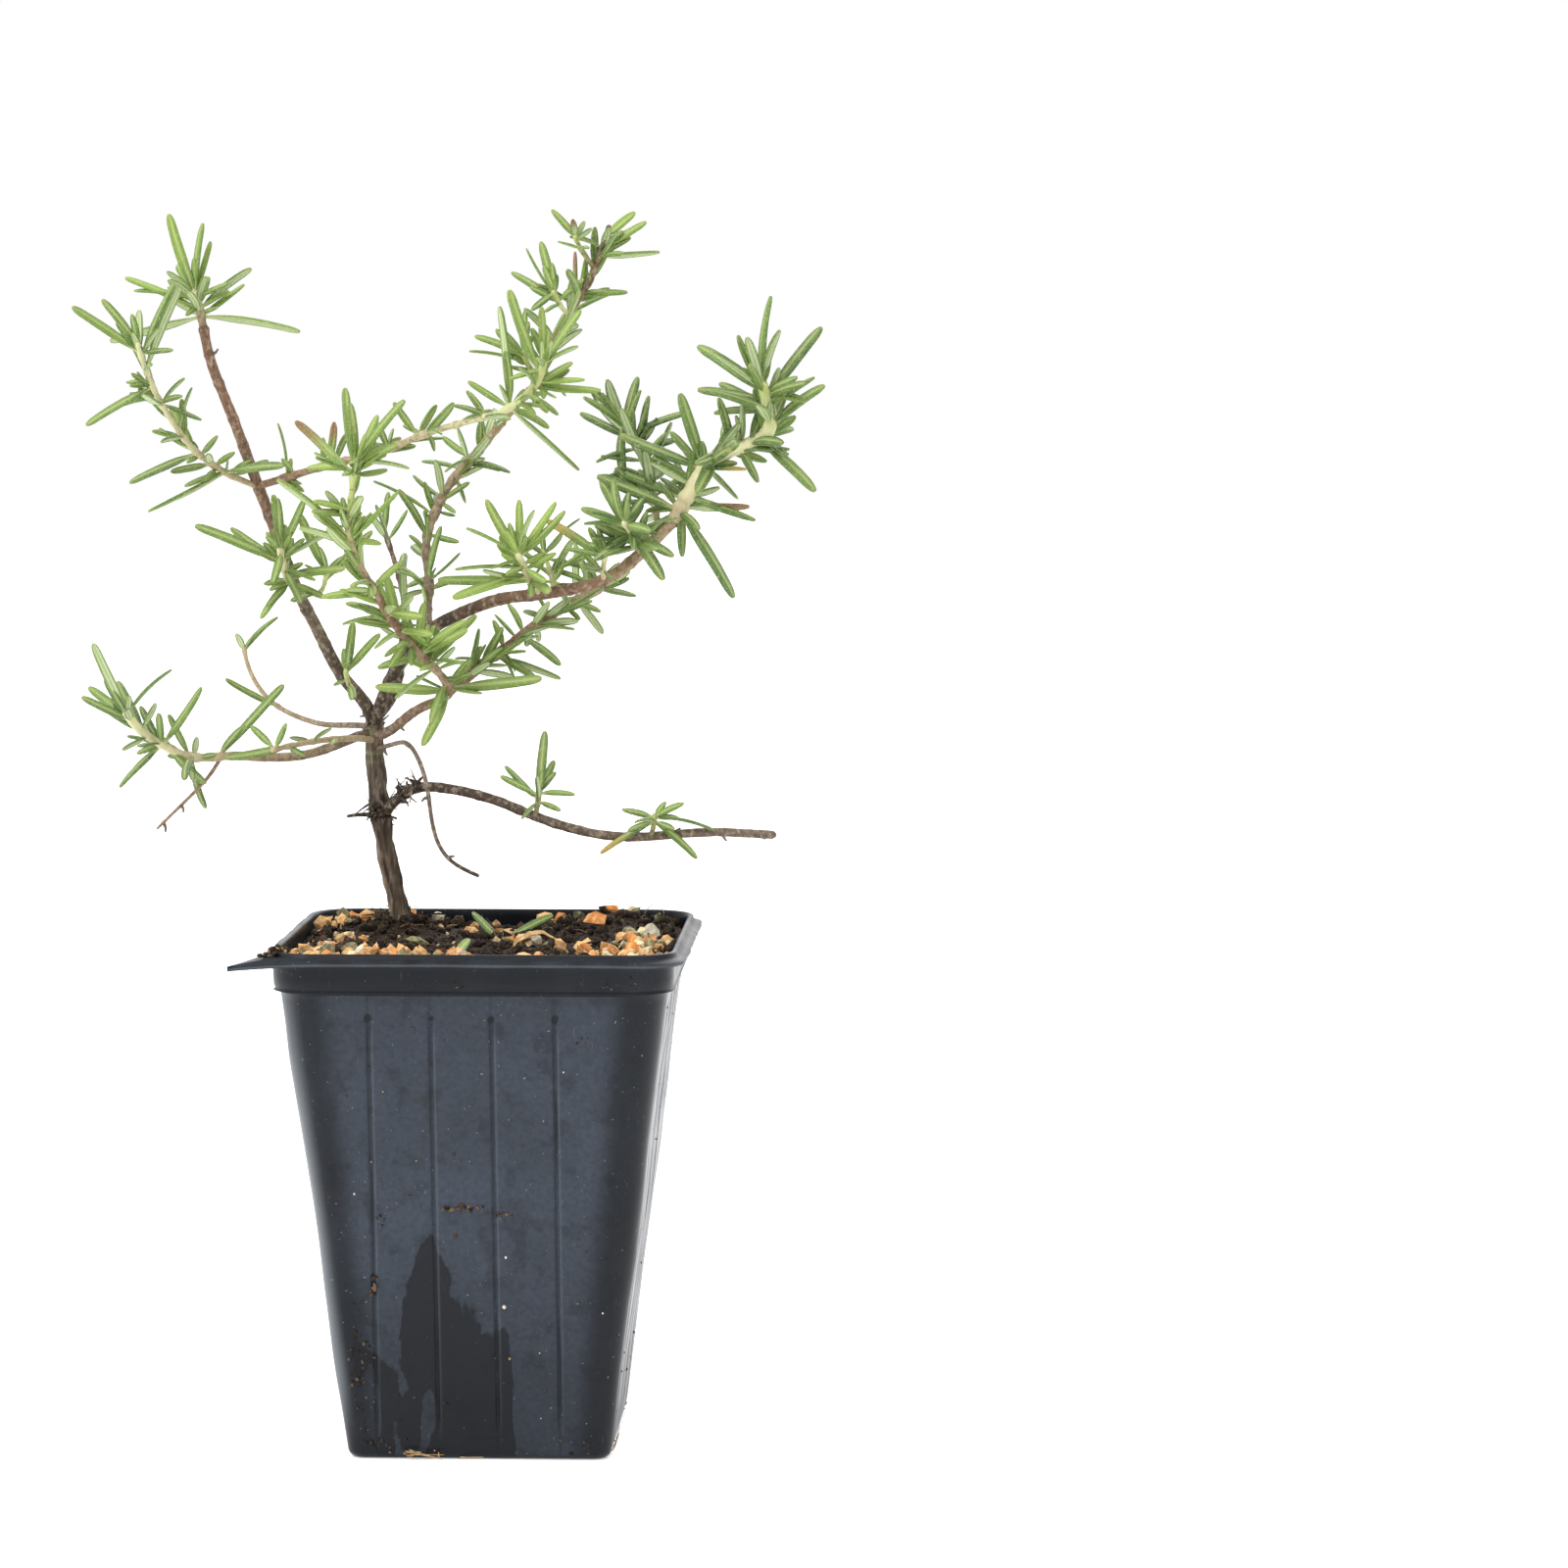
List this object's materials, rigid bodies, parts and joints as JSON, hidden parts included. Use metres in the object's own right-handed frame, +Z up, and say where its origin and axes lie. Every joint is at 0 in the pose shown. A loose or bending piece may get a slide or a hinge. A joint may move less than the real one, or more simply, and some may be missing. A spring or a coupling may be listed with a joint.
{
  "type": "potted rosemary plant",
  "caption": "Young rosemary plant with a woody trunk, spreading stems and needle-like leaves, growing in soil in a square tapered plastic nursery pot.",
  "frame": {"origin": "middle of the pot's underside", "axes": "+Z up, +X to the right and +Y to the back, seen from the front of the plant"},
  "size_m": [0.1587, 0.0913, 0.267],
  "materials": {
    "pot_plastic": "dusty satin black plastic with a slate blue cast, vacuum formed",
    "potting_soil": "dark crumbly peat with bark fibres and grit",
    "grit": "rough tan and orange mineral chips",
    "bark": "fissured grey brown bark",
    "dry_twig": "dry grey brown twig",
    "leaf": "leathery green leaves with fine pale hairs, on pale green and brown shoots",
    "dry_leaf": "papery tan dry leaf"
  },
  "bodies": {
    "root": {"pot": "pot_plastic", "trunk": "bark", "grit_01": "grit", "grit_02": "grit", "grit_03": "grit", "grit_04": "grit", "grit_05": "grit", "grit_06": "grit", "grit_07": "grit", "grit_08": "grit", "grit_09": "grit", "grit_10": "grit", "grit_11": "grit", "grit_12": "grit", "grit_13": "grit", "grit_14": "grit", "fallen_leaf_1": "leaf", "fallen_leaf_2": "leaf", "fallen_leaf_3": "leaf", "curled_dry_leaf": "dry_leaf", "root_ball": "potting_soil", "left_stem": "bark", "right_stem": "bark", "low_right_stem": "bark", "front_fork_stem": "bark", "low_left_stem": "bark", "dry_hanging_twig": "dry_twig", "dry_left_twig": "dry_twig", "trunk_spur": "bark", "left_crown": "leaf", "left_side_shoot": "leaf", "cross_shoot": "leaf", "cross_crown": "leaf", "left_front_shoot": "leaf", "left_inner_sprig": "leaf", "fork_sprig": "leaf", "tall_shoot": "leaf", "tall_crown": "leaf", "tall_low_sprig": "leaf", "tall_middle_sprig": "leaf", "tall_top_sprig": "leaf", "back_shoot": "leaf", "right_crown": "leaf", "right_inner_shoot": "leaf", "right_front_sprig": "leaf", "right_yellow_sprig": "leaf", "middle_bright_shoot": "leaf", "middle_back_sprig": "leaf", "middle_right_shoot": "leaf", "front_shoot": "leaf", "front_crown": "leaf", "low_left_crown": "leaf", "low_back_shoot": "leaf", "low_front_shoot": "leaf", "low_right_sprig": "leaf", "low_right_end_sprig": "leaf"}
  },
  "joints": []
}
